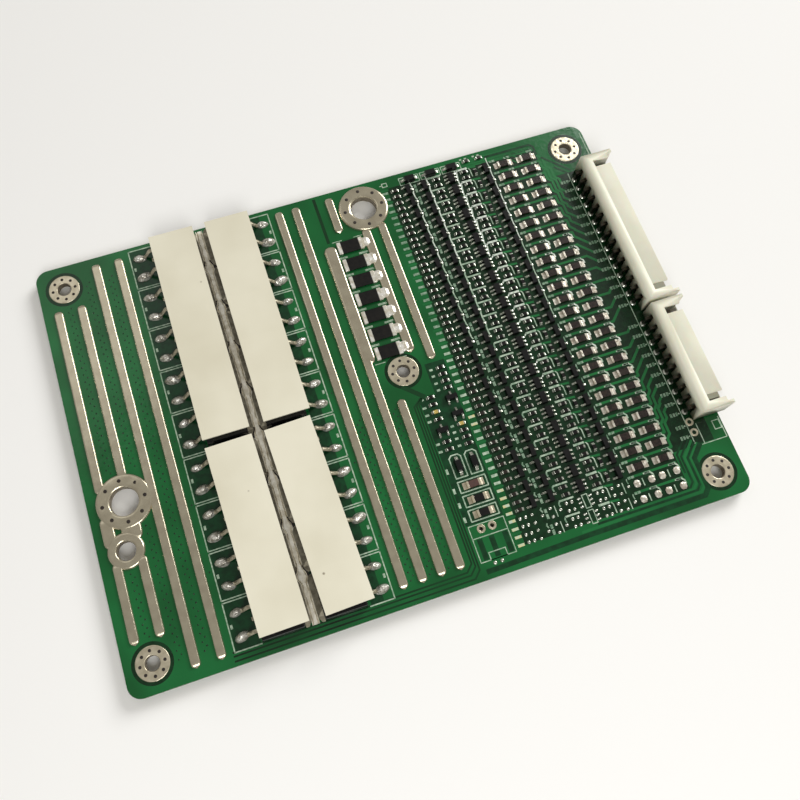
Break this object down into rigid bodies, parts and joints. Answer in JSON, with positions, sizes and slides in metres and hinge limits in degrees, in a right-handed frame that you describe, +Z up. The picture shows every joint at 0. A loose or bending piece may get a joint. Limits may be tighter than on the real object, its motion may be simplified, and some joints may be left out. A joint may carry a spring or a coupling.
{
  "type": "battery management board",
  "caption": "Rectangular circuit board that protects and balances a cell pack, with padded power transistors, solder bars, ring terminals and side-entry wire headers.",
  "frame": {"origin": "centre of the four corner screw holes on the board's under face", "axes": "+X along the board from the power transistors to the wire headers, +Y towards the edge with the battery ring, +Z up out of the face that carries the parts"},
  "size_m": [0.1418, 0.1, 0.0089],
  "materials": {
    "board_laminate": "glass-epoxy laminate under green solder mask",
    "solder_tin": "reflowed solder, bright and slightly wavy",
    "plated_copper": "tin-plated copper frame",
    "black_epoxy": "moulded black epoxy",
    "dark_glaze": "dark glass glaze on ceramic",
    "tan_ceramic": "fired tan ceramic",
    "silicone_pad": "cream silicone sheet with a fine weave",
    "header_nylon": "moulded natural nylon",
    "plated_brass": "tin-plated square brass wire"
  },
  "bodies": {
    "root": {"balance_resistor_bodies": "dark_glaze", "balance_resistor_caps": "solder_tin", "balance_switch_transistors": "black_epoxy", "battery_land": "solder_tin", "cell_monitors": "black_epoxy", "circuit_board": "board_laminate", "clamp_diodes": "black_epoxy", "delay_chips": "dark_glaze", "driver_chips": "dark_glaze", "driver_transistors": "black_epoxy", "filter_chips": "tan_ceramic", "first_switch_transistors": "black_epoxy", "fourth_left_bar": "solder_tin", "gate_chips": "dark_glaze", "input_chips": "tan_ceramic", "input_diodes": "black_epoxy", "insulating_pad_lower_left": "silicone_pad", "insulating_pad_lower_right": "silicone_pad", "insulating_pad_upper_left": "silicone_pad", "insulating_pad_upper_right": "silicone_pad", "long_header_housing": "header_nylon", "long_header_pins": "plated_brass", "output_land": "solder_tin", "pull_up_chips": "dark_glaze", "right_bars": "solder_tin", "screw_rings": "solder_tin", "second_switch_transistors": "black_epoxy", "short_header_housing": "header_nylon", "short_header_pins": "plated_brass", "shunt_bodies": "dark_glaze", "shunt_caps": "solder_tin", "shunt_feed_bar": "solder_tin", "solder_joints_left": "solder_tin", "solder_joints_right": "solder_tin", "supply_capacitor_body": "tan_ceramic", "supply_part_caps": "solder_tin", "supply_resistor_bodies": "dark_glaze", "tab_solder_strip": "solder_tin", "transistor_bodies_left": "black_epoxy", "transistor_bodies_right": "black_epoxy", "transistor_leads_left": "plated_copper", "transistor_leads_right": "plated_copper", "transistor_tabs_left": "plated_copper", "transistor_tabs_right": "plated_copper"}
  },
  "joints": []
}
